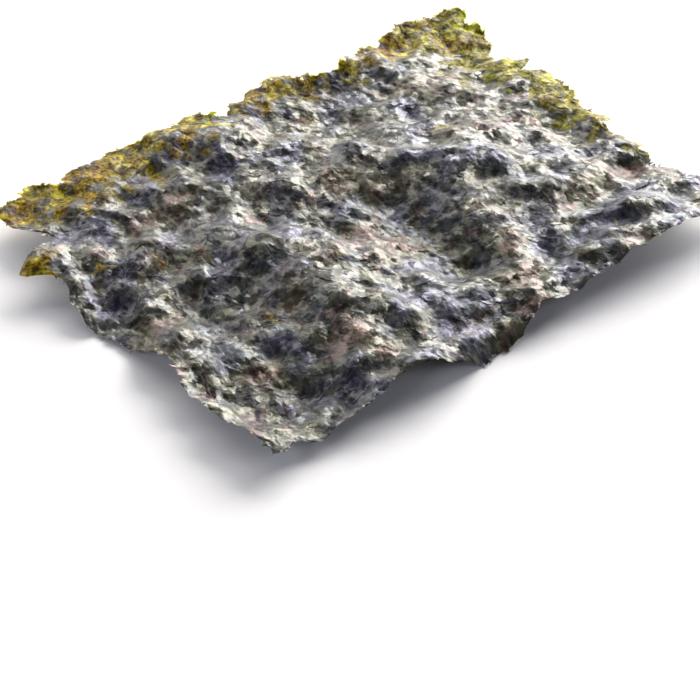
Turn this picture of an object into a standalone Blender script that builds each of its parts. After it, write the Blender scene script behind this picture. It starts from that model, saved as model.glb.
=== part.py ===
"""A quarter sheet of roasted, seasoned laver: one thin, wavy, crinkled leaf.

Two of its edges are cut and nearly straight, and two are the full sheet's natural, ragged margins.
The leaf is laid out in a sheet frame: X runs along the long side and Y along the short side, both from
the middle of the cut rectangle, and Z is up. Every size below is in millimetres, and the mesh is in
metres. The finished leaf lies on its lowest hollows, with the middle of its underside at the origin.
"""

import bmesh
import bpy
import numpy as np

MM = 0.001
NODE = "nori_sheet"

# The full sheet is cut once each way, which leaves a quarter of it.
FULL_LONG = 210.0
FULL_SHORT = 190.0
LONG = FULL_LONG / 2
SHORT = FULL_SHORT / 2

THICKNESS = 0.4
CELLS_LONG = 54
CELLS_SHORT = 48

# Each edge departs from its straight line by lobes: place along the edge, half width, reach outwards.
# The back and right edges are the natural margins, and the front and left ones are cut.
BACK_LOBES = [
    (-44, 3.5, 2.2),
    (-29, 5.5, 2.6),
    (-17.5, 3, 0.8),
    (-7, 2, 3),
    (-2.5, 3.2, -5),
    (14, 4, 2.4),
    (22, 5, -4.2),
    (31, 5, -2.4),
    (45, 6, 2),
]
RIGHT_LOBES = [
    (43, 7, 7.5),
    (34, 5, 4.5),
    (20, 2.4, 3),
    (9, 8, 3.2),
    (-12, 4, -2.4),
    (-26, 5, -2.6),
    (-42, 12, -2.4),
]
FRONT_LOBES = [
    (-47, 2, -1),
    (-23, 4, -1.6),
    (-8, 8, 1),
    (7, 3, -1.5),
    (17, 10, -0.6),
    (34, 14, -0.9),
]
LEFT_LOBES = [
    (-45, 8, -2.2),
    (-15, 5, -2.2),
    (8, 8, 2.8),
    (24.5, 3.5, 6),
    (31.5, 2.4, -4.6),
    (36, 4, -1.2),
]
LOBE_FADE = 13.0  # how far inside an edge its shape dies out

# Small tears along the edges, as a sum of sines of these wavelengths.
NATURAL_FRAY = 0.7
CUT_FRAY = 0.28
FRAY_SHORTEST = 4.0
FRAY_LONGEST = 11.0
FRAY_WAVES = 8
FRAY_SEEDS = {"back": 1, "right": 2, "front": 3, "left": 4}

# The large waves: centre X and Y, half width across, half length, turn in degrees, rise.
SWELLS = {
    "left_ridge": (-19, -24, 6.5, 27, 3, 3.4),
    "back_hump": (-9, 36, 10, 12, 0, 2.8),
    "right_hump": (28, -1, 9, 10, 0, 2.8),
    "hump_tail": (16, -21, 5, 11, 12, 2.2),
    "front_swell": (31, -44, 14, 7, 0, 2.2),
    "lobe_rise": (-52, 26, 8, 8, 0, 1.2),
    "mid_hollow": (3, -9, 5, 13, 0, -2.8),
    "left_hollow": (-42, -32, 8.5, 17, 10, -4.7),
    "side_hollow": (-54, 0, 7, 9, 0, -5),
    "back_hollow": (17, 32, 8, 10, 0, -2.4),
    "corner_droop": (54, 36, 9, 12, 0, -4.8),
    "right_hollow": (57, -20, 8, 10, 0, -2.6),
    "front_lip": (-7.5, -50.5, 8, 4, 0, -5.5),
    "slanting_trough": (-35, -9, 6, 14, 35, -1.6),
    "ridge_shoulder": (-12, -10, 4, 13, 25, 0.8),
    "middle_trough": (6, -5, 4, 12, 10, -1.1),
    "front_dimple": (3.5, -25.5, 5.5, 6, 0, -2.6),
    "middle_spur": (18, -4, 5, 10, 45, 0.9),
    "right_spur": (26, -9, 4.5, 9, 15, 1.2),
    "right_trough": (44, 21, 4, 9, 12, -1.0),
    "back_trough": (9, 28, 4.5, 9, 35, -0.95),
    "back_rise": (-22, 38, 3.5, 8, 33, 0.8),
    "back_edge_rise": (-16, 45, 4, 9, 65, 1.0),
}
REST_LEVEL = -3.6  # hollows deeper than this lie flat on what carries the leaf

# The crinkle between the waves, left by drying and roasting.
CRINKLE_SEED = 466
CRINKLE_WAVES = 16
CRINKLE_SHORTEST = 6.0
CRINKLE_LONGEST = 15.0
CRINKLE_HEIGHT = 0.42

LEAF_COLOUR = (0.022, 0.028, 0.016, 1.0)
LEAF_ROUGHNESS = 0.38


def clear_scene():
    for thing in list(bpy.data.objects):
        bpy.data.objects.remove(thing)


def laver_material():
    material = bpy.data.materials.new("roasted_laver")
    material.use_nodes = True
    shader = material.node_tree.nodes["Principled BSDF"]
    shader.inputs["Base Color"].default_value = LEAF_COLOUR
    shader.inputs["Roughness"].default_value = LEAF_ROUGHNESS
    shader.inputs["Metallic"].default_value = 0.0
    return material


def edge_reach(along, lobes, fray, seed):
    """How far an edge stands out from its straight line: the sum of its lobes, each a bell curve, and of
    sines whose wavelengths grow by a constant ratio and whose heights grow with them."""
    reach = np.zeros_like(along)
    for centre, half_width, out in lobes:
        reach += out * np.exp(-(((along - centre) / half_width) ** 2))
    phases = np.random.default_rng(seed).uniform(0, 2 * np.pi, FRAY_WAVES)
    lengths = np.geomspace(FRAY_SHORTEST, FRAY_LONGEST, FRAY_WAVES)
    for length, phase in zip(lengths, phases):
        share = np.sqrt(length / FRAY_LONGEST) / np.sqrt(FRAY_WAVES / 2)
        reach += fray * share * np.sin(2 * np.pi * along / length + phase)
    return reach


def lay_out(u, v):
    """Where the point (u, v) of a square from -1 to 1 lies in plan: its place in the cut rectangle, moved
    by each edge's reach times a bell curve of the distance to that edge."""
    x, y = u * LONG / 2, v * SHORT / 2

    def fade(distance):
        return np.exp(-((distance / LOBE_FADE) ** 2))

    right = edge_reach(y, RIGHT_LOBES, NATURAL_FRAY, FRAY_SEEDS["right"]) * fade(LONG / 2 - x)
    left = edge_reach(y, LEFT_LOBES, CUT_FRAY, FRAY_SEEDS["left"]) * fade(LONG / 2 + x)
    back = edge_reach(x, BACK_LOBES, NATURAL_FRAY, FRAY_SEEDS["back"]) * fade(SHORT / 2 - y)
    front = edge_reach(x, FRONT_LOBES, CUT_FRAY, FRAY_SEEDS["front"]) * fade(SHORT / 2 + y)
    return x + right - left, y + back - front


def waves(x, y):
    """The height of the large waves: a sum of turned elliptical bell curves."""
    height = np.zeros_like(x)
    for centre_x, centre_y, half_width, half_length, turn, rise in SWELLS.values():
        angle = np.radians(turn)
        dx, dy = x - centre_x, y - centre_y
        across = (dx * np.cos(angle) + dy * np.sin(angle)) / half_width
        along = (dy * np.cos(angle) - dx * np.sin(angle)) / half_length
        height += rise * np.exp(-(across**2) - along**2)
    return height


def crinkle(x, y):
    """The height of the crinkle: a sum of sines in seeded directions, longer ones higher, each bent
    sideways by a slower sine so that no fold runs straight."""
    draw = np.random.default_rng(CRINKLE_SEED)
    height = np.zeros_like(x)
    for length in np.geomspace(CRINKLE_SHORTEST, CRINKLE_LONGEST, CRINKLE_WAVES):
        angle, phase, bend_phase = draw.uniform(0, 2 * np.pi, 3)
        forward = x * np.cos(angle) + y * np.sin(angle)
        sideways = y * np.cos(angle) - x * np.sin(angle)
        bent = forward + 0.25 * length * np.sin(sideways / length + bend_phase)
        height += length / CRINKLE_LONGEST * np.sin(2 * np.pi * bent / length + phase)
    return height * CRINKLE_HEIGHT / np.sqrt(CRINKLE_WAVES / 2)


def leaf_points(u, v):
    x, y = lay_out(u, v)
    z = np.maximum(waves(x, y) + crinkle(x, y), REST_LEVEL)
    return np.stack([x, y, z], axis=1) * MM


def build_leaf():
    """A grid over the square, laid out as the wavy leaf and split into triangles along the shorter
    diagonals, which Solidify then gives its thickness, so both faces are split alike."""
    grid = bmesh.new()
    bmesh.ops.create_grid(grid, x_segments=CELLS_LONG, y_segments=CELLS_SHORT, size=1.0)
    square = np.array([vert.co for vert in grid.verts])
    for vert, point in zip(grid.verts, leaf_points(square[:, 0], square[:, 1])):
        vert.co = point
    bmesh.ops.triangulate(grid, faces=grid.faces, quad_method="SHORT_EDGE")
    mesh = bpy.data.meshes.new(NODE)
    grid.to_mesh(mesh)
    grid.free()
    mesh.shade_smooth()
    mesh.materials.append(laver_material())

    leaf = bpy.data.objects.new(NODE, mesh)
    bpy.context.scene.collection.objects.link(leaf)
    wall = leaf.modifiers.new("thickness", "SOLIDIFY")
    wall.thickness = THICKNESS * MM
    wall.offset = -1.0
    wall.use_rim = True
    return leaf


def stand_on_origin(leaf):
    """Moves the leaf so that the middle of its box's underside is at the origin."""
    bpy.context.view_layer.update()
    solid = leaf.evaluated_get(bpy.context.evaluated_depsgraph_get())
    corners = np.array([vert.co for vert in solid.data.vertices])
    low, high = corners.min(axis=0), corners.max(axis=0)
    leaf.location = (-(low[0] + high[0]) / 2, -(low[1] + high[1]) / 2, -low[2])


clear_scene()
stand_on_origin(build_leaf())
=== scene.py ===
"""The finish of a quarter sheet of roasted, seasoned laver, lying alone on a plain pale floor.

Shapes are worked out in the sheet frame of the solid: millimetres, X along the long side and Y along the
short side from the middle of the cut rectangle, Z up. to_row() carries them to the row frame in metres.
"""

import bpy
import numpy as np
from mathutils import Matrix, Vector


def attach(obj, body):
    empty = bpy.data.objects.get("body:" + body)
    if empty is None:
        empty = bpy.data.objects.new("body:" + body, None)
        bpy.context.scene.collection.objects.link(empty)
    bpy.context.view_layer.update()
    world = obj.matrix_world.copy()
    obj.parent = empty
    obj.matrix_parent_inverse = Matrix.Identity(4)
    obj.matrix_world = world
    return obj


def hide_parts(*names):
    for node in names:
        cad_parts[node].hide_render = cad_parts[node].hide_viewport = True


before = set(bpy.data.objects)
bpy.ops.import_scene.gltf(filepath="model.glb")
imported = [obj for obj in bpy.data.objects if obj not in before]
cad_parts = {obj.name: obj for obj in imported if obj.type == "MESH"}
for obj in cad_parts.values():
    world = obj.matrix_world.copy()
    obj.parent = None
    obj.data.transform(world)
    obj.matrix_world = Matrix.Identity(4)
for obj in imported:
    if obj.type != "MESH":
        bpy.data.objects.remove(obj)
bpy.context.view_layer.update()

MM = 0.001
NODE = "nori_sheet"
BODY = "root"

# ---------------------------------------------------------------- the leaf's form, as in the solid
LONG = 105.0
SHORT = 95.0
SOLID_THICKNESS = 0.4

# Place along the edge, half width, reach outwards.
BACK_LOBES = [
    (-44, 3.5, 2.2),
    (-29, 5.5, 2.6),
    (-17.5, 3, 0.8),
    (-7, 2, 3),
    (-2.5, 3.2, -5),
    (14, 4, 2.4),
    (22, 5, -4.2),
    (31, 5, -2.4),
    (45, 6, 2),
]
RIGHT_LOBES = [
    (43, 7, 7.5),
    (34, 5, 4.5),
    (20, 2.4, 3),
    (9, 8, 3.2),
    (-12, 4, -2.4),
    (-26, 5, -2.6),
    (-42, 12, -2.4),
]
FRONT_LOBES = [
    (-47, 2, -1),
    (-23, 4, -1.6),
    (-8, 8, 1),
    (7, 3, -1.5),
    (17, 10, -0.6),
    (34, 14, -0.9),
]
LEFT_LOBES = [
    (-45, 8, -2.2),
    (-15, 5, -2.2),
    (8, 8, 2.8),
    (24.5, 3.5, 6),
    (31.5, 2.4, -4.6),
    (36, 4, -1.2),
]
LOBE_FADE = 13.0
NATURAL_FRAY = 0.7
CUT_FRAY = 0.28
FRAY_SHORTEST = 4.0
FRAY_LONGEST = 11.0
FRAY_WAVES = 8
FRAY_SEEDS = {"back": 1, "right": 2, "front": 3, "left": 4}

# Centre X and Y, half width across, half length, turn in degrees, rise.
SWELLS = {
    "left_ridge": (-19, -24, 6.5, 27, 3, 3.4),
    "back_hump": (-9, 36, 10, 12, 0, 2.8),
    "right_hump": (28, -1, 9, 10, 0, 2.8),
    "hump_tail": (16, -21, 5, 11, 12, 2.2),
    "front_swell": (31, -44, 14, 7, 0, 2.2),
    "lobe_rise": (-52, 26, 8, 8, 0, 1.2),
    "mid_hollow": (3, -9, 5, 13, 0, -2.8),
    "left_hollow": (-42, -32, 8.5, 17, 10, -4.7),
    "side_hollow": (-54, 0, 7, 9, 0, -5),
    "back_hollow": (17, 32, 8, 10, 0, -2.4),
    "corner_droop": (54, 36, 9, 12, 0, -4.8),
    "right_hollow": (57, -20, 8, 10, 0, -2.6),
    "front_lip": (-7.5, -50.5, 8, 4, 0, -5.5),
    "slanting_trough": (-35, -9, 6, 14, 35, -1.6),
    "ridge_shoulder": (-12, -10, 4, 13, 25, 0.8),
    "middle_trough": (6, -5, 4, 12, 10, -1.1),
    "front_dimple": (3.5, -25.5, 5.5, 6, 0, -2.6),
    "middle_spur": (18, -4, 5, 10, 45, 0.9),
    "right_spur": (26, -9, 4.5, 9, 15, 1.2),
    "right_trough": (44, 21, 4, 9, 12, -1.0),
    "back_trough": (9, 28, 4.5, 9, 35, -0.95),
    "back_rise": (-22, 38, 3.5, 8, 33, 0.8),
    "back_edge_rise": (-16, 45, 4, 9, 65, 1.0),
}
REST_LEVEL = -3.6

CRINKLE_SEED = 466
CRINKLE_WAVES = 16
CRINKLE_SHORTEST = 6.0
CRINKLE_LONGEST = 15.0
CRINKLE_HEIGHT = 0.42
CRINKLE_BEND = 0.25


def edge_reach(along, lobes, fray, seed):
    """How far an edge stands out from its straight line: the sum of its lobes, each a bell curve, and of
    sines whose wavelengths grow by a constant ratio and whose heights grow with them."""
    reach = np.zeros_like(along)
    for centre, half_width, out in lobes:
        reach += out * np.exp(-(((along - centre) / half_width) ** 2))
    phases = np.random.default_rng(seed).uniform(0, 2 * np.pi, FRAY_WAVES)
    lengths = np.geomspace(FRAY_SHORTEST, FRAY_LONGEST, FRAY_WAVES)
    for length, phase in zip(lengths, phases):
        share = np.sqrt(length / FRAY_LONGEST) / np.sqrt(FRAY_WAVES / 2)
        reach += fray * share * np.sin(2 * np.pi * along / length + phase)
    return reach


def lay_out(u, v):
    """Where the point (u, v) of a square from -1 to 1 lies in plan: its place in the cut rectangle, moved
    by each edge's reach times a bell curve of the distance to that edge."""
    x, y = u * LONG / 2, v * SHORT / 2

    def fade(distance):
        return np.exp(-((distance / LOBE_FADE) ** 2))

    right = edge_reach(y, RIGHT_LOBES, NATURAL_FRAY, FRAY_SEEDS["right"]) * fade(LONG / 2 - x)
    left = edge_reach(y, LEFT_LOBES, CUT_FRAY, FRAY_SEEDS["left"]) * fade(LONG / 2 + x)
    back = edge_reach(x, BACK_LOBES, NATURAL_FRAY, FRAY_SEEDS["back"]) * fade(SHORT / 2 - y)
    front = edge_reach(x, FRONT_LOBES, CUT_FRAY, FRAY_SEEDS["front"]) * fade(SHORT / 2 + y)
    return x + right - left, y + back - front


def bells(x, y, forms):
    """A sum of turned elliptical bell curves."""
    height = np.zeros_like(x)
    for centre_x, centre_y, half_width, half_length, turn, rise in forms:
        angle = np.radians(turn)
        dx, dy = x - centre_x, y - centre_y
        across = (dx * np.cos(angle) + dy * np.sin(angle)) / half_width
        along = (dy * np.cos(angle) - dx * np.sin(angle)) / half_length
        height += rise * np.exp(-(across**2) - along**2)
    return height


def crinkle(x, y):
    """The height of the crinkle: a sum of sines in seeded directions, longer ones higher, each bent
    sideways by a slower sine so that no fold runs straight."""
    draw = np.random.default_rng(CRINKLE_SEED)
    height = np.zeros_like(x)
    for length in np.geomspace(CRINKLE_SHORTEST, CRINKLE_LONGEST, CRINKLE_WAVES):
        angle, phase, bend_phase = draw.uniform(0, 2 * np.pi, 3)
        forward = x * np.cos(angle) + y * np.sin(angle)
        sideways = y * np.cos(angle) - x * np.sin(angle)
        bent = forward + CRINKLE_BEND * length * np.sin(sideways / length + bend_phase)
        height += length / CRINKLE_LONGEST * np.sin(2 * np.pi * bent / length + phase)
    return height * CRINKLE_HEIGHT / np.sqrt(CRINKLE_WAVES / 2)


def solid_top(x, y):
    """The solid's upper face: the swells and the crinkle, and nowhere lower than the level it rests at."""
    return np.maximum(bells(x, y, SWELLS.values()) + crinkle(x, y), REST_LEVEL)


# ---------------------------------------------------------------- the fine relief
LEAF_CELLS = (230, 208)
EDGE_BAND = 5.0  # near the edges the cells are smaller
EDGE_CROWDING = 1.1
DENSITY_SAMPLES = 4001
OUTLINE_SAMPLES = 1601
WALL = 0.26  # the pressed leaf between its two faces
RIM_WALL = (0.2, 0.55, 0.85)  # and its shares at the rim, one cell in and two cells in
RIM_SMOOTHINGS = 2
LEAST_WALL = 0.1
SHRED_WALL = 0.05
SHRED_GAP = 0.01
FLOOR_LEVEL = REST_LEVEL - SOLID_THICKNESS

NOISE_TABLE = 256


def lattice_noise(x, y, cell, seed):
    """Gradient noise, about -0.7 to 0.7: every corner of a square lattice has a seeded unit slope, and the
    four planes around a point are blended with a quintic ease."""
    angles = np.random.default_rng(seed).uniform(0, 2 * np.pi, (NOISE_TABLE, NOISE_TABLE))
    px, py = x / cell + NOISE_TABLE / 2, y / cell + NOISE_TABLE / 2
    column, row = np.floor(px).astype(int), np.floor(py).astype(int)
    fx, fy = px - column, py - row
    ease_x, ease_y = (t**3 * (t * (t * 6 - 15) + 10) for t in (fx, fy))

    def plane(dx, dy):
        angle = angles[(row + dy) % NOISE_TABLE, (column + dx) % NOISE_TABLE]
        return np.cos(angle) * (fx - dx) + np.sin(angle) * (fy - dy)

    near = plane(0, 0) * (1 - ease_x) + plane(1, 0) * ease_x
    far = plane(0, 1) * (1 - ease_x) + plane(1, 1) * ease_x
    return near * (1 - ease_y) + far * ease_y


def swayed(x, y, reach, cell, seed):
    """A place moved along X and along Y by two noises of this reach and size."""
    return x + reach * lattice_noise(x, y, cell, seed), y + reach * lattice_noise(x, y, cell, seed + 1)


# Smaller dents and bumps between the waves, written as the swells are.
DENTS = (
    (-18, -38, 3.8, 6, 35, -0.9),
    (-8, -1, 3.2, 8, 35, -0.8),
    (18, -23, 3, 6, 15, -0.6),
    (43, -6, 4, 6, 0, -0.7),
    (35, 11, 3.5, 7, 20, -0.7),
    (-39, 25, 4, 9, 65, -0.7),
    (-47, 42, 4, 6, 0, -0.7),
    (-30, 14, 2.8, 6, 10, -0.5),
    (31, 30, 3, 6, 20, -0.4),
    (-14, 34, 3, 7, 60, -0.5),
    (46, -26, 3.5, 8, 78, -0.6),
    (22, -37, 4, 4, 0, -0.4),
    (-48, 14, 3, 6, 90, -0.35),
    (37, -36, 4, 7, 40, 0.9),
    (-7, 16, 4, 5, 0, 0.5),
    (6, 18, 4, 7, 60, 0.4),
    (19, 29, 4, 11, 38, 0.6),
    (18, 5, 3, 7, 35, 0.5),
    (-20, 1, 3, 7, 35, 0.5),
    (-34, 16, 2.8, 8, 30, 0.5),
    (-22, 26, 4.5, 10, 55, 0.5),
    (-43, -22, 7, 9, 0, 0.7),
    (35, -20, 6, 8, 0, 0.7),
    (8, 45, 5, 5, 0, 0.9),
    (-51, -12, 4, 9, 0, 0.9),
    (-51, -34, 3, 7, 0, 0.7),
    (-27, -40, 4, 7, 0, 0.9),
    (-14, -3, 4, 6, 20, 0.7),
    (11, 12, 2.5, 7, 10, 0.5),
    (30, -21, 4, 4, 0, 0.8),
    (-5, -29, 4, 5, 60, 0.6),
    (34, -35, 3.5, 4, 0, 0.6),
    (55, 41, 4, 6, 0, 0.6),
    (2, 34, 3, 3.5, 0, -0.8),
    (20, 34, 2.5, 6, 0, -0.7),
    (27, 18, 3, 4.5, 0, -0.9),
    (-40, 3, 3.5, 6, 0, -0.9),
    (-40, -10, 4, 5, 0, -0.5),
    (-8, 7, 3, 7, 40, -0.8),
    (18, -29, 3, 9, 0, -1.0),
    (32, -40, 3, 6, 50, -0.8),
    (-17, -40, 4, 7, 60, -1.0),
    (-6, -43, 4, 5, 90, -0.6),
    (31, -3, 4, 4.5, 0, -0.7),
    (44, 11, 4, 3, 0, -0.5),
    (-12, 25, 3, 4, 0, -0.4),
    (-48, 15, 3, 4, 0, -0.35),
    (7, -12, 3, 4, 0, -0.4),
    (33, -37, 2.5, 8, 38, 0.8),
    (27, -21, 2.5, 6, 60, 0.6),
    (-50, -33, 3, 8, 0, 0.5),
    (-35, 38, 3, 8, 15, 0.6),
    (-4, 8, 2, 7, 25, 0.6),
    (11, 14, 3, 5, 0, 0.4),
    (48, 17, 4, 3, 0, 0.4),
    (35, 20, 3, 3, 0, 0.4),
    (30, -30, 3, 9, 68, -0.8),
    (32, -5, 3, 3, 0, -0.5),
    (27, -15, 3, 3, 0, -0.5),
    (-15, -26, 4, 4, 0, -0.6),
    (-13, 24, 3, 4, 0, -0.4),
    (-3, 22, 3, 4, 0, -0.4),
    (12, 22, 3, 3, 0, -0.6),
    (20, 22, 2, 4, 0, -0.5),
    (30, 27, 3, 4, 0, -0.4),
    (47, 27, 3, 6, 0, -0.5),
    (-15, 11, 3, 5, 90, -0.5),
    (-7, -4, 2.5, 6, 10, -0.6),
    (10, 42, 3, 4, 90, -0.5),
    (45, 0, 3, 3, 0, -0.4),
    (-22, 0, 3, 11, 48, 0.45),
    (-10, 4, 3, 8, 40, -0.6),
    (-40, -4, 4.5, 7, 0, -0.35),
    (-47, -14, 4.5, 11, 0, 0.8),
    (28, 24, 5, 9, 0, -0.6),
    (13, 8, 3, 10, 30, 0.45),
    (36, -28, 4, 4.5, 0, -0.6),
    (20, -33, 3, 4, 0, -0.4),
    (24, 46, 12, 4, 0, 0.9),
    (53, 43, 5, 5, 0, 0.7),
    (-20, 40, 8, 4, 0, 0.35),
    (-52, 32, 3, 5, 0, 0.7),
    (50, -11, 4, 9, 0, 0.8),
    (-3, -41, 4, 4, 0, -0.45),
    (-14, -22, 4, 4, 0, -0.35),
    (6, -25, 3.5, 7, 0, -0.35),
    (-48, -44, 5, 5, 0, 1.0),
    (-26, -48, 13, 4, 0, 0.5),
    (26, 40, 9, 3, 0, -0.5),
    (40, 42, 5, 4, 0, -0.7),
    (-22, 36, 5, 3, 0, -0.5),
    (32, -18, 3, 5, 0, -0.5),
    (16, -41, 4, 4, 0, -0.4),
)
DENT_DEPTH = 1.35  # all of them together, as a share of what the list says

# Spacing of the creases, rise, squeeze across Y, seed.
FOLDS = ((9, 1.4, 1.35, 620), (5, 0.55, 1.0, 1747), (2.8, 0.15, 1.0, 2188))
FOLD_SWAY = (2.2, 7.0, 21)  # reach, size, seed
MEAN_FOLD = 0.25


def folds(x, y):
    """Creases of the crisp leaf: minus the absolute value of noise, which has a sharp crest wherever the
    noise passes zero, at three sizes, the widest longer along Y, on a plane that slower noise has bent."""
    bent_x, bent_y = swayed(x, y, *FOLD_SWAY)
    height = np.zeros_like(x)
    for cell, rise, squeeze, seed in FOLDS:
        height += rise * (MEAN_FOLD - np.abs(lattice_noise(bent_x * squeeze, bent_y / squeeze, cell, seed)))
    return height


# The net of pressed strands: spacing, stretch, turn in degrees, seed.
NETS = ((3.4, 1.25, 40, 31), (2.8, 1.25, -50, 32), (1.7, 1.2, 10, 33))
NET_SWAY = (1.1, 3.0, 28)  # reach, size, seed
NET_PIT = 0.34  # how far the noise is from zero in a full pit
NET_RISE = 0.14  # from a pit to where strands cross


def strands(x, y):
    """The net of pressed strands: each of three noises, stretched along a direction of its own, has a
    strand wherever it passes zero. The mean of them all, about 0 in the pits and 1 where strands cross."""
    bent_x, bent_y = swayed(x, y, *NET_SWAY)
    total = np.zeros_like(x)
    for spacing, stretch, turn, seed in NETS:
        angle = np.radians(turn)
        across = (bent_x * np.cos(angle) + bent_y * np.sin(angle)) * stretch
        along = (bent_y * np.cos(angle) - bent_x * np.sin(angle)) / stretch
        total += np.clip(1 - np.abs(lattice_noise(across, along, spacing, seed)) / NET_PIT, 0, 1)
    return total / len(NETS)


# The blades pressed together that show on the underside.
BLADE_LENGTH = 4.6
BLADE_WIDTH = 1.6
BLADE_SEED = 41
BLADE_PITCH = 0.62  # their spacing, as a share of the geometric mean of length and width
BLADE_UPRIGHT = 0.35  # how near to Y the least turned ones stay
BLADE_SLOPE = 0.3
BLADE_BED = -0.12  # the height where no blade lies
BLADE_STACK = 0.16  # from the lowest blade to the highest
BLADE_DOME = 0.05
BLADE_RELIEF = 0.6  # these heights are all scaled by this


def blades(x, y):
    """Height of pressed, overlapping seaweed blades: a jittered lattice of tilted, domed ellipses, of which
    the highest at a point shows. Their long axes lean to Y, the way the leaf was spread."""
    length, width = BLADE_LENGTH, BLADE_WIDTH
    cell = np.sqrt(length * width) * BLADE_PITCH
    table = np.random.default_rng(BLADE_SEED).uniform(0, 1, (6, NOISE_TABLE, NOISE_TABLE))
    column, row = np.floor(x / cell).astype(int), np.floor(y / cell).astype(int)
    height = np.full(x.shape, BLADE_BED)
    steps = int(np.ceil(length / 2 / cell))
    for dx in range(-steps, steps + 1):
        for dy in range(-steps, steps + 1):
            i, j = (row + dy) % NOISE_TABLE, (column + dx) % NOISE_TABLE
            jitter_x, jitter_y, turn, level, tilt, roll = table[:, i, j]
            px = x - (column + dx + jitter_x) * cell
            py = y - (row + dy + jitter_y) * cell
            off_y = BLADE_UPRIGHT + (1 - BLADE_UPRIGHT) * np.abs(2 * turn - 1)
            angle = (turn - 0.5) * np.pi * off_y
            along = py * np.cos(angle) + px * np.sin(angle)
            across = px * np.cos(angle) - py * np.sin(angle)
            reach = (2 * along / length) ** 2 + (2 * across / width) ** 2
            lean = BLADE_SLOPE * ((tilt - 0.5) * along + 2 * (roll - 0.5) * across)
            top = BLADE_STACK * level + lean - BLADE_DOME * reach
            height = np.maximum(height, np.where(reach < 1, top, BLADE_BED))
    return height


def middle_face(x, y):
    """The middle of the solid's wall, with the creases and dents."""
    return solid_top(x, y) - SOLID_THICKNESS / 2 + folds(x, y) + DENT_DEPTH * bells(x, y, DENTS)


def top_bed(x, y):
    """The upper side of the pressed leaf, half its wall above the middle."""
    return middle_face(x, y) + WALL / 2


def under_bed(x, y):
    """The lower side of the pressed leaf, half its wall below the middle."""
    return middle_face(x, y) - WALL / 2


def top_face(x, y):
    """The upper bed, raised by the net of strands, and at least the least wall above the floor."""
    return np.maximum(top_bed(x, y) + NET_RISE * (strands(x, y) - 0.5), FLOOR_LEVEL + LEAST_WALL)


def under_face(x, y):
    """The lower bed, lowered by the blades under it, at least the least wall below the upper face, and
    never below the floor."""
    face = np.minimum(under_bed(x, y) - BLADE_RELIEF * blades(x, y), top_face(x, y) - LEAST_WALL)
    return np.maximum(face, FLOOR_LEVEL)


# ---------------------------------------------------------------- meshes from arrays
def to_row(points):
    """Sheet frame in millimetres to row frame in metres: the middle of the solid's box is the origin."""
    return (points + ROW_SHIFT) * MM


def edge_middle():
    """The row frame's origin in the sheet frame, from the outline that the solid also has."""
    s = np.linspace(-1, 1, OUTLINE_SAMPLES)
    ends = np.ones_like(s)
    sides = [lay_out(s, ends), lay_out(s, -ends), lay_out(ends, s), lay_out(-ends, s)]
    x = np.concatenate([side[0] for side in sides])
    y = np.concatenate([side[1] for side in sides])
    return np.array([(x.min() + x.max()) / 2, (y.min() + y.max()) / 2, FLOOR_LEVEL])


ROW_SHIFT = -edge_middle()
SHARPEST = np.radians(60)  # rims sharper than this are creased


def mesh_piece(name, points, quads, material, **attributes):
    """A piece whose vertices, four-sided faces and point attributes are whole arrays."""
    mesh = bpy.data.meshes.new(name)
    mesh.vertices.add(len(points))
    mesh.vertices.foreach_set("co", to_row(points).astype(np.float32).ravel())
    mesh.loops.add(quads.size)
    mesh.loops.foreach_set("vertex_index", quads.astype(np.int32).ravel())
    mesh.polygons.add(len(quads))
    mesh.polygons.foreach_set("loop_start", np.arange(0, quads.size, 4, dtype=np.int32))
    mesh.polygons.foreach_set("use_smooth", np.ones(len(quads), bool))
    for key, values in attributes.items():
        layer = mesh.attributes.new(key, "FLOAT", "POINT")
        layer.data.foreach_set("value", values.astype(np.float32).ravel())
    mesh.update()
    mesh.validate()
    mesh.set_sharp_from_angle(angle=SHARPEST)
    mesh.materials.append(material)
    piece = bpy.data.objects.new(name, mesh)
    bpy.context.scene.collection.objects.link(piece)
    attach(piece, BODY)
    return piece


# How deep the thin margin reaches in from each natural edge: place along the edge, depth.
BACK_MARGIN = (
    (-52, 5),
    (-44, 12),
    (-30, 13),
    (-21, 9),
    (-12, 11),
    (-4, 7),
    (28, 7),
    (36, 9),
    (43, 8),
    (53, 14),
)
RIGHT_MARGIN = (
    (-48, 1),
    (-28, 2),
    (-18, 4),
    (-8, 7),
    (4, 7),
    (12, 5),
    (20, 9),
    (36, 8),
    (48, 14),
)

# Other thin places: centre X and Y, half width, half length, strength.
THIN_PLACES = (
    (-58, 23, 6, 5, 1.3),
    (-53, 44, 5, 4, 0.9),
    (-37, 12, 2.5, 4, 0.6),
    (10, 33, 4, 2.5, 0.6),
    (-46, 17, 3, 3, 0.6),
    (27, 10, 3, 3, 0.45),
    (-30, 35, 4, 3, 0.5),
)
THIN_AT_EDGE = 1.6
THIN_PLACE_RISE = 1.9
THIN_PLACE_FLOOR = -0.45
THIN_START = 0.5
THIN_STEEPNESS = 2.0
THIN_RAGS = ((1.5, 3.6, 51), (1.0, 1.5, 52))  # strength, size, seed


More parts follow.
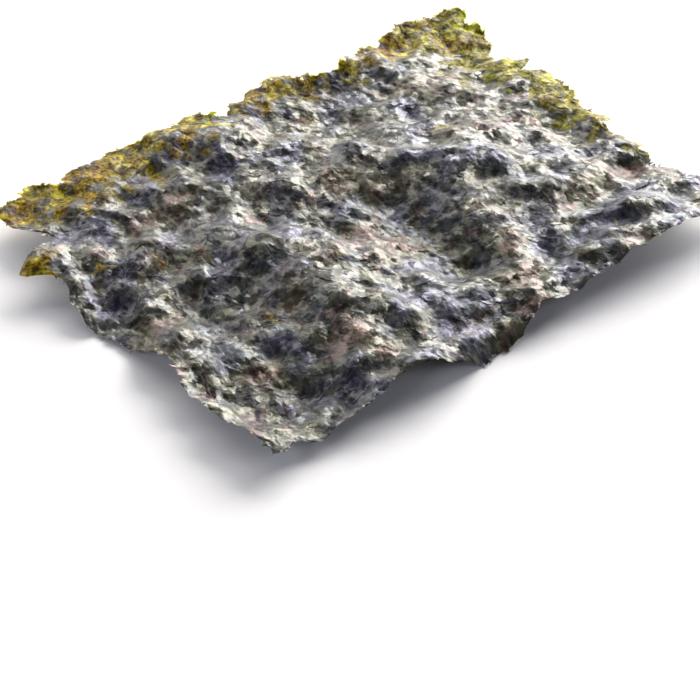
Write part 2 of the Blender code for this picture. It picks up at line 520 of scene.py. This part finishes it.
def thinness(x, y):
    """How thin the leaf is, 0 to 1: it falls across each margin by its share of the margin's depth, and
    around the other thin places as bell curves do, and noise makes its border ragged."""
    back = (SHORT / 2 - y) / np.interp(x, *zip(*BACK_MARGIN))
    right = (LONG / 2 - x) / np.interp(y, *zip(*RIGHT_MARGIN))
    most = THIN_AT_EDGE - np.minimum(back, right)
    for centre_x, centre_y, half_width, half_length, strength in THIN_PLACES:
        reach = ((x - centre_x) / half_width) ** 2 + ((y - centre_y) / half_length) ** 2
        most = np.maximum(most, THIN_PLACE_RISE * strength * np.exp(-reach) + THIN_PLACE_FLOOR)
    ragged = sum(strength * lattice_noise(x, y, size, seed) for strength, size, seed in THIN_RAGS)
    return np.clip(THIN_STEEPNESS * (most - THIN_START + ragged), 0, 1)


WARM_REACH = 22.0  # the difference between the two distances that would turn all green to all amber
WARM_LIMITS = (-0.5, 0.2)  # the most that it takes away and adds
WARM_PATCH = (1.4, 8.0, 53)  # strength, size, seed


def warmth(x, y):
    """How amber a thin place is, 0 to 1: patches of both everywhere, and mostly green where the right edge
    is nearer than the back one."""
    nearer = np.clip((LONG / 2 - x - SHORT / 2 + y) / WARM_REACH, *WARM_LIMITS)
    strength, size, seed = WARM_PATCH
    return np.clip(0.5 + nearer + strength * lattice_noise(x, y, size, seed), 0, 1)


# Tinted places: centre X and Y, half width, half length, turn, tone. Low tones are violet and blue, and
# rising ones green, olive, then brown to rose.
TINTS = (
    (-27, 0, 4, 6, 0, -1.0),
    (-14, 25, 3, 4, 20, -1.0),
    (-38, 27, 3, 4, 0, -0.8),
    (3, -3, 3, 4, 0, -0.9),
    (17, -7, 4, 7, -60, -0.8),
    (28, 22, 3, 5, 0, -1.1),
    (20, 34, 3, 5, 0, -0.7),
    (23, -28, 3, 7, -45, -1.1),
    (27, -37, 4, 5, -30, -1.1),
    (-48, 6, 3, 4, 0, -0.6),
    (-13, 5, 3, 4, 0, -0.5),
    (-32, -46, 7, 4, 0, -0.6),
    (12, -45, 4, 4, 0, -0.7),
    (-15, -37, 3, 4, 0, -0.5),
    (25, 7, 3, 4, 0, 0.9),
    (7, 22, 4, 4, 0, 0.7),
    (-46, 19, 4, 4, 0, 0.7),
    (-37, 11, 3, 3, 0, 0.7),
    (-24, 16, 4, 4, 0, 0.7),
    (38, 17, 3, 3, 0, 0.8),
    (34, 5, 4, 5, 0, 0.6),
    (-50, -28, 4, 5, 0, 0.6),
    (34, -14, 4, 4, 0, 0.5),
    (-13, -12, 4, 5, 0, 0.4),
    (8, -37, 3, 6, -30, 1.6),
    (35, -25, 7, 4, 0, 1.4),
    (-40, -27, 4, 5, 0, 1.3),
    (9, 31, 4, 5, 0, 1.2),
    (35, 27, 4, 4, 0, 1.3),
    (-24, 24, 4, 4, 0, 1.2),
    (-9, 20, 6, 4, 0, 0.8),
    (-25, -34, 3, 3, 0, 1.4),
    (-47, -5, 4, 4, 0, 1.2),
    (-30, -17, 5, 4, 0, 0.9),
    (-2, -8, 4, 8, 0, 0.6),
)


# Depth, size and seed of what is torn out of the margins and the cut edges, and of the pinholes.
BITES = ((2.6, 2.6, 61), (1.6, 1.2, 62))
NICKS = ((0.7, 1.7, 63),)
PINHOLES = ((1.0, 1.15, 64),)
BITE_BIAS = 0.1
NICK_BIAS = -0.05
PINHOLE_BIAS = -0.68  # leaves hardly any pinholes away from the margins
PINHOLE_AT_MARGIN = 0.3
PINHOLE_FADE = 7.0


def tears(x, y, u, v):
    """How deep the leaf is torn at a point, positive where it is gone: ragged bites out of the natural
    margins, nicks in the cut edges, and pinholes, most of them near the margins."""
    natural = np.minimum((1 - u) * LONG / 2, (1 - v) * SHORT / 2)
    cut = np.minimum((1 + u) * LONG / 2, (1 + v) * SHORT / 2)
    bite, nick, hole = (
        sum(depth * lattice_noise(x, y, size, seed) for depth, size, seed in kinds)
        for kinds in (BITES, NICKS, PINHOLES)
    )
    hole += PINHOLE_AT_MARGIN * np.exp(-((natural / PINHOLE_FADE) ** 2)) + PINHOLE_BIAS
    return np.maximum(np.maximum(bite + BITE_BIAS - natural, nick + NICK_BIAS - cut), hole)


def without_corner_contacts(kept):
    """Drops one of two kept cells that meet only at a corner, until none do, so the wall stays closed."""
    while True:
        a, b = kept[:-1, :-1], kept[:-1, 1:]
        c, d = kept[1:, :-1], kept[1:, 1:]
        falling, rising = a & d & ~b & ~c, b & c & ~a & ~d
        if not (falling.any() or rising.any()):
            return kept
        kept[:-1, :-1][falling] = False
        kept[:-1, 1:][rising] = False


def crowded(cells, length):
    """Places from -1 to 1 whose spacing is inverse to a density, which is 1 and a bell curve more of the
    distance to the nearer end."""
    s = np.linspace(-1, 1, DENSITY_SAMPLES)
    density = 1 + EDGE_CROWDING * np.exp(-(((1 - np.abs(s)) * length / 2 / EDGE_BAND) ** 2))
    passed = np.concatenate([[0], np.cumsum((density[1:] + density[:-1]) / 2)])
    return np.interp(np.linspace(0, passed[-1], cells + 1), passed, s)


def leaf():
    """The leaf: two faces over one grid of the square, without the cells that the tears take, and a wall
    wherever a kept cell has no neighbour. The rim's points move half way to the mean of their neighbours
    on it, and towards the rim the two faces close in on each other. Returns places on the rim."""
    columns, rows = LEAF_CELLS
    u, v = np.meshgrid(crowded(columns, LONG), crowded(rows, SHORT))
    x, y = lay_out(u, v)
    torn = tears(x, y, u, v)
    middle = (torn[:-1, :-1] + torn[1:, :-1] + torn[:-1, 1:] + torn[1:, 1:]) / 4
    kept = without_corner_contacts(middle < 0)

    index = np.arange(u.size).reshape(u.shape)
    corners = [index[:-1, :-1], index[:-1, 1:], index[1:, 1:], index[1:, :-1]]
    top = np.stack([c[kept] for c in corners], axis=1)
    under = top[:, ::-1] + u.size

    open_cells = ~np.pad(kept, 1)
    walls = []
    sides = (((0, 1), (0, 1)), ((1, 2), (1, 2)), ((2, 1), (2, 3)), ((1, 0), (3, 0)))
    for (row_step, column_step), (start, end) in sides:
        across = open_cells[row_step : row_step + rows, column_step : column_step + columns]
        bare = kept & across
        first, second = corners[start][bare], corners[end][bare]
        walls.append(np.stack([second, first, first + u.size, second + u.size], axis=1))
    quads = np.concatenate([top, under, *walls])

    xy = np.stack([x.ravel(), y.ravel()], axis=1)
    ends = np.concatenate([w[:, :2] for w in walls])
    rim = np.unique(ends)
    for _ in range(RIM_SMOOTHINGS):
        total, count = np.zeros_like(xy), np.zeros(len(xy))
        for first, second in ((0, 1), (1, 0)):
            np.add.at(total, ends[:, first], xy[ends[:, second]])
            np.add.at(count, ends[:, first], 1)
        xy[rim] = (xy[rim] + total[rim] / count[rim, None]) / 2

    share = np.ones(u.size)
    near_rim = np.zeros(u.size, bool)
    near_rim[rim] = True
    near_rim = near_rim.reshape(u.shape)
    for rim_share in RIM_WALL:
        share[near_rim.ravel() & (share == 1)] = rim_share
        wide = np.pad(near_rim, 1)
        near_rim = wide[1:-1, 1:-1] | wide[:-2, 1:-1] | wide[2:, 1:-1] | wide[1:-1, :-2] | wide[1:-1, 2:]

    x, y = xy.T
    faces = top_face(x, y), under_face(x, y)
    middle_z = sum(faces) / 2
    points = np.concatenate([np.stack([x, y, middle_z + share * (z - middle_z)], axis=1) for z in faces])
    used = np.unique(quads)
    place = np.zeros(len(points), int)
    place[used] = np.arange(len(used))
    values = {
        "thin": thinness(x, y),
        "tone": bells(x, y, TINTS),
        "crest": strands(x, y),
        "warm": warmth(x, y),
    }
    values = {key: np.tile(value, 2)[used] for key, value in values.items()}
    piece = mesh_piece(NODE + "_leaf", points[used], place[quads], LAVER, **values)
    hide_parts(NODE)
    return rim_places(x[rim], y[rim], u.ravel()[rim], v.ravel()[rim])


RIM_SHREDS = 520
RIM_DEPTH = 4.5  # a bare edge further in than this is a hole's
CUT_SHARE = 0.5  # as many shreds stick out of a cut edge, for its length, as this times a natural one
RIM_LEAN = 0.7  # in radians, as all leans and turns of shreds are
RIM_INSET = (0.2, 0.6)
RIM_SEED = 78


def rim_places(x, y, u, v):
    """Random places on the rim, and turns that point out of the leaf, give or take a lean."""
    gaps = np.stack([(1 - v) * SHORT, (1 - u) * LONG, (1 + v) * SHORT, (1 + u) * LONG]) / 2
    nearest = gaps.argmin(axis=0)
    draw = np.random.default_rng(RIM_SEED)
    chance = np.where(gaps.min(axis=0) > RIM_DEPTH, 0, np.where(nearest < 2, 1, CUT_SHARE))
    picked = draw.choice(len(x), RIM_SHREDS, replace=False, p=chance / chance.sum())
    turn = nearest[picked] * np.pi / 2 + draw.normal(0, RIM_LEAN, RIM_SHREDS)
    inwards = draw.uniform(*RIM_INSET, RIM_SHREDS)
    return x[picked] - inwards * np.sin(turn), y[picked] - inwards * np.cos(turn), turn


# A shred is this many points long and wide.
STATIONS = 6
STRANDS = 4

SHRED_FIELD = 0.94  # how much of the leaf they lie on
SHRED_LEAN = 0.8
SHRED_SPREADS = (0.35, 0.3)  # of the lengths and of the widths, as logarithms
SHRED_BEND = 0.14
SHRED_ROLL = 0.04
SHRED_SIDES = (0.45, 1.0)  # how ragged the sides are, as shares of half the width
SHRED_TAPER = 0.9
SHRED_CREST = 0.7  # a shred counts as raised this much, where 1 is a crossing of strands


def shred_faces():
    """One shred's faces: a grid, closed by a second one under it that shares its border, so that the
    shred is a thin lens."""
    upper = np.arange(STATIONS * STRANDS).reshape(STATIONS, STRANDS)
    lower = upper.copy()
    inner = (STATIONS - 2) * (STRANDS - 2)
    lower[1:-1, 1:-1] = upper.size + np.arange(inner).reshape(STATIONS - 2, STRANDS - 2)

    def cells(grid):
        ring = (grid[:-1, :-1], grid[1:, :-1], grid[1:, 1:], grid[:-1, 1:])
        return np.stack([corner.ravel() for corner in ring], axis=1)

    return np.concatenate([cells(upper)[:, ::-1], cells(lower)])


def scattered(count, seed):
    """Random places over the leaf, and turns from the Y axis, the way the leaf was spread."""
    draw = np.random.default_rng(seed)
    x, y = lay_out(*draw.uniform(-SHRED_FIELD, SHRED_FIELD, (2, count)))
    return x, y, draw.normal(0, SHRED_LEAN, count)


def shreds(name, places, seed, size, lift, bed, side):
    """Scraps of seaweed of about this length and width that lie over a bed, on its side 1, or under it, on
    its side -1. Each follows the bed along a spine bent by a square and a cube of the way along it, has
    ragged sides that close in with that cube at its ends, and curls away at one end and one side."""
    draw = np.random.default_rng(seed)
    x, y, turn = places
    count = len(x)
    lengths, widths = (
        typical * draw.lognormal(0, spread, count) for typical, spread in zip(size, SHRED_SPREADS)
    )
    bend, sway = draw.normal(0, SHRED_BEND, (2, count)) * lengths
    lifts = lift * draw.uniform(0, 1, count) ** 2
    rolls = draw.normal(0, SHRED_ROLL, count)
    tones = draw.uniform(-1, 1, count)
    sides = draw.uniform(*SHRED_SIDES, (2, count, STATIONS, 1))

    def each(values):
        return values[:, None, None]

    s = np.linspace(-1, 1, STATIONS)[None, :, None]
    t = np.linspace(-1, 1, STRANDS)[None, None, :]
    taper = (1 - SHRED_TAPER * np.abs(s) ** 3) * np.where(t < 0, sides[0], sides[1])
    along = each(lengths) / 2 * s + 0 * t
    across = each(widths) / 2 * t * taper + each(bend) * s**2 + each(sway) * s**3
    px = each(x) + along * np.sin(each(turn)) + across * np.cos(each(turn))
    py = each(y) + along * np.cos(each(turn)) - across * np.sin(each(turn))
    curl = each(lifts) * ((s + 1) / 2) ** 3 + each(rolls) * each(widths) / 2 * (t + 1)
    pz = bed(px, py) + side * (SHRED_GAP + np.abs(curl) + SHRED_WALL * (1 - t**2))
    upper = np.stack([px, py, pz], axis=-1)
    lower = upper[:, 1:-1, 1:-1].copy()
    lower[..., 2] -= side * SHRED_WALL
    points = np.concatenate([upper.reshape(count, -1, 3), lower.reshape(count, -1, 3)], axis=1)
    points[..., 2] = np.maximum(points[..., 2], FLOOR_LEVEL)

    faces = shred_faces()[:, ::side]
    quads = (faces[None] + (np.arange(count) * points.shape[1])[:, None, None]).reshape(-1, 4)
    flat = points.reshape(-1, 3)
    values = {
        "thin": thinness(x, y),
        "tone": tones,
        "crest": np.full(count, SHRED_CREST),
        "warm": warmth(x, y),
    }
    values = {key: np.repeat(value, points.shape[1]) for key, value in values.items()}
    return mesh_piece(name, flat, quads, LAVER, **values)


# ---------------------------------------------------------------- materials
def linear(hex_colour):
    """An sRGB hex colour as the linear values that shaders take, with an alpha of 1."""
    channels = [int(hex_colour[i : i + 2], 16) / 255 for i in (1, 3, 5)]
    return [c / 12.92 if c <= 0.04045 else ((c + 0.055) / 1.055) ** 2.4 for c in channels] + [1.0]


def add(tree, kind, inputs=None, stops=(), **settings):
    """Adds a node and sets its properties. A colour ramp gets its stops, each a place and an sRGB hex
    colour. Inputs are filled with values, other nodes' outputs, or nodes for their first output in use."""
    node = tree.nodes.new(kind)
    for key, value in settings.items():
        setattr(node, key, value)
    if stops:
        elements = node.color_ramp.elements
        while len(elements) < len(stops):
            elements.new(0.5)
        for element, (place, colour) in zip(elements, stops):
            element.position = place
            element.color = linear(colour)
    for key, value in (inputs or {}).items():
        if isinstance(value, bpy.types.Node):
            value = next(output for output in value.outputs if output.enabled)
        if isinstance(value, bpy.types.NodeSocket):
            tree.links.new(value, node.inputs[key])
        else:
            node.inputs[key].default_value = value
    return node


def per_metre(size_mm):
    """The scale of a noise on Object coordinates, in metres, whose features are about this size."""
    return 1 / (size_mm * MM)


def new_material(name):
    """An empty material and its node tree."""
    material = bpy.data.materials.new(name)
    material.use_nodes = True
    material.node_tree.nodes.clear()
    return material, material.node_tree


def bent(tree, where, size_mm, by_mm):
    """A place moved each way by up to about half of by_mm, by noise whose features have the given size."""
    bend = add(tree, "ShaderNodeTexNoise", {"Vector": where, "Scale": per_metre(size_mm), "Detail": 2.0})
    shift = add(
        tree,
        "ShaderNodeVectorMath",
        {0: bend.outputs["Color"], 1: (0.5, 0.5, 0.5)},
        operation="SUBTRACT",
    )
    return add(
        tree, "ShaderNodeVectorMath", {0: shift, 1: (by_mm * MM,) * 3, 2: where}, operation="MULTIPLY_ADD"
    )


def stretched(tree, where, spacing, stretch, turn):
    """A place in units of the spacing, turned, and then squeezed along Y so that a pattern on it is this
    many times longer along X."""
    scale = (per_metre(spacing), per_metre(spacing * stretch), per_metre(spacing))
    inputs = {"Vector": where, "Rotation": (0, 0, np.radians(turn)), "Scale": scale}
    return add(tree, "ShaderNodeMapping", inputs)


def fibre_net(tree, where, spacing, stretch, turn):
    """Ridged noise stretched along one direction: fine bent lines about this far apart, from about 0
    between them to 1 on them."""
    return add(
        tree,
        "ShaderNodeTexNoise",
        {
            "Vector": stretched(tree, where, spacing, stretch, turn),
            "Scale": 1.0,
            "Detail": 3.0,
            "Roughness": 0.6,
            "Offset": 0.9,
            "Gain": 1.0,
        },
        noise_dimensions="2D",
        noise_type="RIDGED_MULTIFRACTAL",
    )


def flakes(tree, where, size, stretch, turn):
    """Pressed flakes of about this size, longer along one direction: each one's number, 0 to 1, and the
    height in metres of a plane that tilts each its own way, the offset from its middle times its slope."""
    squeezed = stretched(tree, where, size, stretch, turn)
    cells = add(
        tree, "ShaderNodeTexVoronoi", {"Vector": squeezed, "Scale": 1.0}, voronoi_dimensions="2D"
    )
    slope = add(
        tree,
        "ShaderNodeVectorMath",
        {0: cells.outputs["Color"], 1: (1.0, 1.0, 0.0), 2: (-0.5, -0.5, 0.0)},
        operation="MULTIPLY_ADD",
    )
    offset = add(
        tree, "ShaderNodeVectorMath", {0: squeezed, 1: cells.outputs["Position"]}, operation="SUBTRACT"
    )
    rise = add(tree, "ShaderNodeVectorMath", {0: slope, 1: offset}, operation="DOT_PRODUCT")
    height = add(tree, "ShaderNodeMath", {0: rise, 1: FLAKE_SLOPE * size * MM}, operation="MULTIPLY")
    number = add(tree, "ShaderNodeSeparateColor", {0: cells.outputs["Color"]}).outputs["Blue"]
    return number, height


# Sizes are in millimetres. Nets and flakes: spacing or size, stretch, turn in degrees. Bends: size, reach.
FIBRE_NETS = ((2.0, 1.4, 40), (1.8, 1.4, -50))
FIBRE_BEND = (3.0, 1.6)
FIBRE_RISE = 0.03
FLAKES = ((0.9, 1.9, 35), (1.2, 1.7, -55))
FLAKE_BEND = (1.2, 1.2)
FLAKE_SLOPE = 0.4  # the steepest, as height over length
PATCH_SIZE = 1.7
PATCH_BEND = (1.6, 1.6)

# How much each adds to how far a point stands up, and the level that is taken off their sum.
STRAND_SHARE = 0.6
FIBRE_SHARE = 0.25
FLAKE_SHARE = 0.2
SPECKLE_SHARE = 1.5
PIT_LEVEL = 0.73

TONE_ON_PIGMENT = 0.13
TONE_ON_OIL = 0.1
PATCH_SHARE = 0.25  # how much a patch's own number adds to which blade colour it has
THIN_ROUGHNESS = 0.35  # what a single blade is rougher by

# A pale grey mixed into the colour where the leaf stands up: a painted highlight.
PAINTED_CREST_HIGHLIGHT = "#8e917f"
DARK_FIBRE = "#2e1b0b"
# Near-black reflection in the pits: partly painted shade, partly thinner oil.
DRY_AND_SHADED_SHEEN = "#0c0c12"
THIN_SHEEN = "#0e0d05"

# Cloudy noises by what they vary: size in millimetres, detail, and which of all such noises it is.
CLOUDS = {
    "pigment": (7.0, 4.0, 1.0),
    "blade": (2.4, 3.0, 5.0),
    "oil": (7.0, 4.0, 13.0),
    # The fourth noise speckles where the painted highlight and the painted shade in the pits fall, and the
    # gloss.
    "speckle": (2.2, 5.0, 17.0),
}

PIGMENTS = (
    (0.34, "#1e1b2e"),
    (0.44, "#14141f"),
    (0.5, "#141715"),
    (0.56, "#1f2314"),
    (0.62, "#2d1c19"),
    (0.7, "#34301a"),
)
# The pale yellows here are partly painted light that comes through the thin blades, partly their own olive
# and amber.
GREEN_BLADES_LIT_THROUGH = (
    (0.4, "#1c1206"),
    (0.5, "#4c4a08"),
    (0.58, "#94900e"),
    (0.66, "#4e3c0c"),
    (0.76, "#aca81e"),
    (0.88, "#c8c45c"),
)
AMBER_BLADES_LIT_THROUGH = (
    (0.4, "#241206"),
    (0.5, "#5e440a"),
    (0.58, "#a48a10"),
    (0.66, "#5a340a"),
    (0.76, "#b4a01c"),
    (0.88, "#d6c870"),
)
OIL_TINTS = (
    (0.38, "#aea2f4"),
    (0.43, "#b8d0f4"),
    (0.48, "#eef2f0"),
    (0.52, "#faf0dc"),
    (0.57, "#deecb0"),
    (0.63, "#fcb8ac"),
)


def roasted_laver():
    """Laver, Pyropia pressed and dried, then roasted and brushed with sesame oil. Where blades overlap it
    is nearly black with violet, green and brown in it, with a pale grey mixed in where it stands up, a
    painted highlight. Single blades are olive to amber, their pale yellows partly painted light that
    comes through them, and let light through. Pressing leaves nets of fibres and small flakes that each
    lie at a tilt of their own. The oil film is glossier on what stands up than in the pits between, where
    its reflection is dimmed to near black, partly as painted shade and partly as thinner oil, and its
    thickness tints the sheen from lilac over cream to rose."""
    material, tree = new_material("oiled_roasted_laver")
    where = add(tree, "ShaderNodeTexCoord").outputs["Object"]
    thin, tone, crest, warm = (
        add(tree, "ShaderNodeAttribute", attribute_name=name).outputs["Fac"]
        for name in ("thin", "tone", "crest", "warm")
    )
    clouds = {
        name: add(
            tree,
            "ShaderNodeTexNoise",
            {"Vector": where, "Scale": per_metre(size), "Detail": detail, "W": which},
            noise_dimensions="4D",
        )
        for name, (size, detail, which) in CLOUDS.items()
    }

    # How far a point stands up: a sum of strands, fibres, flakes and random speckle. It places the painted
    # highlight, the painted shade in the pits, and the gloss.
    crooked = bent(tree, where, *FIBRE_BEND)
    net_a, net_b = (fibre_net(tree, crooked, *net) for net in FIBRE_NETS)
    nets = add(tree, "ShaderNodeMath", {0: net_a, 1: net_b}, operation="ADD")
    broken = bent(tree, where, *FLAKE_BEND)
    (number_a, height_a), (number_b, height_b) = (flakes(tree, broken, *kind) for kind in FLAKES)
    numbers = add(tree, "ShaderNodeMath", {0: number_a, 1: number_b}, operation="ADD")
    raised = -PIT_LEVEL
    for part, part_share in (
        (nets, FIBRE_SHARE),
        (crest, STRAND_SHARE),
        (numbers, FLAKE_SHARE),
        (clouds["speckle"], SPECKLE_SHARE),
    ):
        raised = add(tree, "ShaderNodeMath", {0: part, 1: part_share, 2: raised}, operation="MULTIPLY_ADD")

    # Overlapping blades, by their pigment, with a painted highlight, a pale grey, where they stand up.
    pigment = add(
        tree,
        "ShaderNodeMath",
        {0: tone, 1: TONE_ON_PIGMENT, 2: clouds["pigment"]},
        operation="MULTIPLY_ADD",
    )
    pale = add(
        tree,
        "ShaderNodeMapRange",
        {"Value": raised, "From Min": 0.65, "From Max": 1.1, "To Min": 0.0, "To Max": 0.18},
    )
    thick = add(
        tree,
        "ShaderNodeMix",
        {
            "Factor": pale,
            "A": add(tree, "ShaderNodeValToRGB", {"Fac": pigment}, PIGMENTS),
            "B": linear(PAINTED_CREST_HIGHLIGHT),
        },
        data_type="RGBA",
    )

    # Single blades, green or amber in small patches, with darker fibres. Their bright yellows are partly
    # painted light that comes through them.
    patches = add(
        tree,
        "ShaderNodeTexVoronoi",
        {"Vector": bent(tree, where, *PATCH_BEND), "Scale": per_metre(PATCH_SIZE)},
        voronoi_dimensions="2D",
    )
    chance = add(tree, "ShaderNodeSeparateColor", {0: patches.outputs["Color"]}).outputs["Red"]
    patch = add(
        tree, "ShaderNodeMath", {0: chance, 1: PATCH_SHARE, 2: clouds["blade"]}, operation="MULTIPLY_ADD"
    )
    single = add(
        tree,
        "ShaderNodeMix",
        {
            "Factor": warm,
            "A": add(tree, "ShaderNodeValToRGB", {"Fac": patch}, GREEN_BLADES_LIT_THROUGH),
            "B": add(tree, "ShaderNodeValToRGB", {"Fac": patch}, AMBER_BLADES_LIT_THROUGH),
        },
        data_type="RGBA",
    )
    fibrous = add(
        tree,
        "ShaderNodeMapRange",
        {"Value": nets, "From Min": 1.3, "From Max": 1.8, "To Min": 0.0, "To Max": 0.55},
    )
    single = add(
        tree, "ShaderNodeMix", {"Factor": fibrous, "A": single, "B": linear(DARK_FIBRE)}, data_type="RGBA"
    )
    colour = add(tree, "ShaderNodeMix", {"Factor": thin, "A": thick, "B": single}, data_type="RGBA")

    # The oil: its tint, and its gloss. Its reflection is dimmed nearly to black in the pits, partly painted
    # shade and partly thinner oil, and where the leaf is thin.
    film = add(
        tree, "ShaderNodeMath", {0: tone, 1: TONE_ON_OIL, 2: clouds["oil"]}, operation="MULTIPLY_ADD"
    )
    dry_and_shaded = add(
        tree,
        "ShaderNodeMapRange",
        {"Value": raised, "From Min": 0.4, "From Max": 0.95, "To Min": 1.0, "To Max": 0.0},
    )
    sheen = add(
        tree,
        "ShaderNodeMix",
        {
            "Factor": dry_and_shaded,
            "A": add(tree, "ShaderNodeValToRGB", {"Fac": film}, OIL_TINTS),
            "B": linear(DRY_AND_SHADED_SHEEN),
        },
        data_type="RGBA",
    )
    sheen = add(
        tree, "ShaderNodeMix", {"Factor": thin, "A": sheen, "B": linear(THIN_SHEEN)}, data_type="RGBA"
    )
    roughness = add(
        tree,
        "ShaderNodeMapRange",
        {"Value": raised, "From Min": 0.4, "From Max": 0.95, "To Min": 0.62, "To Max": 0.4},
    )
    roughness = add(
        tree, "ShaderNodeMath", {0: thin, 1: THIN_ROUGHNESS, 2: roughness}, operation="MULTIPLY_ADD"
    )

    # The relief that is too fine for the mesh.
    tilts = add(tree, "ShaderNodeMath", {0: height_a, 1: height_b}, operation="ADD")
    height = add(
        tree, "ShaderNodeMath", {0: nets, 1: FIBRE_RISE * MM, 2: tilts}, operation="MULTIPLY_ADD"
    )
    bump = add(tree, "ShaderNodeBump", {"Height": height, "Distance": 1.0})
    shader = add(
        tree,
        "ShaderNodeBsdfPrincipled",
        {
            "Base Color": colour,
            "Roughness": roughness,
            "IOR": 1.56,
            "Specular Tint": sheen,
            "Subsurface Weight": thin,
            "Subsurface Radius": (0.9, 1.0, 0.25),
            "Subsurface Scale": 0.6 * MM,
            "Coat Weight": 0.16,
            "Coat Roughness": 0.32,
            "Coat IOR": 1.47,
            "Normal": bump,
            "Coat Normal": bump,
        },
    )
    add(tree, "ShaderNodeOutputMaterial", {"Surface": shader})
    return material


HAZE_SIZE = 180.0


def matt_floor():
    """Matt white laminate: a plain pale studio floor with no gloss to speak of."""
    material, tree = new_material("matt_pale_laminate")
    where = add(tree, "ShaderNodeTexCoord").outputs["Object"]
    haze = add(tree, "ShaderNodeTexNoise", {"Vector": where, "Scale": per_metre(HAZE_SIZE), "Detail": 2.0})
    colour = add(
        tree,
        "ShaderNodeMix",
        {"Factor": haze, "A": linear("#f3f3f2"), "B": linear("#f7f7f6")},
        data_type="RGBA",
    )
    shader = add(tree, "ShaderNodeBsdfPrincipled", {"Base Color": colour, "Roughness": 0.8})
    add(tree, "ShaderNodeOutputMaterial", {"Surface": shader})
    return material


# ---------------------------------------------------------------- floor, light and camera
FLOOR_HALF = 3.0
CAMERA_LENS = 100.0
CAMERA_AZIMUTH = -30.72
CAMERA_ELEVATION = 38.32
CAMERA_ROLL = -7.42
CAMERA_DISTANCE = 0.3277
CAMERA_AIM = (-0.02684, -0.03486, 0.004)
SENSOR_WIDTH = 36.0
NEAREST_SEEN = 0.01

# Name, azimuth from the camera's, elevation, distance, width, height, radiance, colour, in degrees and
# metres. The first two light the leaf from low behind it, which is what makes its raised strands shine.
LAMPS = (
    ("back_softbox", 146, 20, 3.0, 3.0, 1.58, 13.8, "#fffcf8"),
    ("back_spill", 180, 26, 2.2, 4.8, 2.2, 2.6, "#fbf7f4"),
    ("left_wing", -60, 30, 1.0, 0.7, 0.5, 2.8, "#eef0ff"),
    ("right_wing", 50, 30, 1.0, 0.7, 0.5, 1.6, "#eef0ff"),
)
SKY_COLOUR = "#cfd0e6"
SKY_STRENGTH = 0.05


def outward(azimuth, elevation):
    """The unit vector that points from the leaf this many degrees round from -Y and up from the floor."""
    a, e = np.radians(azimuth), np.radians(elevation)
    return Vector((np.sin(a) * np.cos(e), -np.cos(a) * np.cos(e), np.sin(e)))


def floor():
    """A level square far wider than the view."""
    mesh = bpy.data.meshes.new("floor")
    corners = [(x * FLOOR_HALF, y * FLOOR_HALF, 0) for x, y in ((-1, -1), (1, -1), (1, 1), (-1, 1))]
    mesh.from_pydata(corners, [], [(0, 1, 2, 3)])
    mesh.materials.append(matt_floor())
    piece = bpy.data.objects.new("floor", mesh)
    bpy.context.scene.collection.objects.link(piece)


def camera():
    """The photograph's own view of the leaf, turned about the line of sight by the roll."""
    data = bpy.data.cameras.new("camera")
    data.lens = CAMERA_LENS
    data.sensor_width = SENSOR_WIDTH
    data.clip_start = NEAREST_SEEN
    thing = bpy.data.objects.new("camera", data)
    bpy.context.scene.collection.objects.link(thing)
    back = outward(CAMERA_AZIMUTH, CAMERA_ELEVATION)
    turn = (-back).to_track_quat("-Z", "Y").to_matrix() @ Matrix.Rotation(np.radians(CAMERA_ROLL), 3, "Z")
    thing.matrix_world = Matrix.Translation(Vector(CAMERA_AIM) + back * CAMERA_DISTANCE) @ turn.to_4x4()
    bpy.context.scene.camera = thing


def softbox(name, from_camera, elevation, distance, width, height, radiance, colour):
    """A soft rectangular lamp that faces the leaf, given by the brightness of its face."""
    data = bpy.data.lights.new(name, "AREA")
    data.shape = "RECTANGLE"
    data.size, data.size_y = width, height
    data.energy = radiance * np.pi * width * height
    data.color = linear(colour)[:3]
    thing = bpy.data.objects.new(name, data)
    bpy.context.scene.collection.objects.link(thing)
    back = outward(CAMERA_AZIMUTH + from_camera, elevation)
    thing.location = back * distance
    thing.rotation_euler = back.to_track_quat("Z", "Y").to_euler()


def studio():
    """A faint sky and the lamps."""
    world = bpy.data.worlds.new("studio")
    bpy.context.scene.world = world
    world.use_nodes = True
    sky = world.node_tree.nodes["Background"]
    sky.inputs["Color"].default_value = linear(SKY_COLOUR)
    sky.inputs["Strength"].default_value = SKY_STRENGTH
    for lamp in LAMPS:
        softbox(*lamp)
    bpy.context.scene.view_settings.view_transform = "Standard"


# ---------------------------------------------------------------- the scene
camera()
studio()
floor()
LAVER = roasted_laver()
RIM = leaf()
# Name, places (how many and their seed), seed of the shapes, length and width, lift, bed, side.
shreds("upper_shreds_large", scattered(90, 71), 74, (5.0, 1.9), 0.05, top_bed, 1)
shreds("upper_shreds_small", scattered(400, 72), 75, (2.6, 1.0), 0.04, top_bed, 1)
shreds("under_shreds", scattered(900, 73), 76, (4.0, 1.5), 0.2, under_bed, -1)
shreds("rim_shreds", RIM, 77, (1.3, 1.0), 0.08, middle_face, 1)
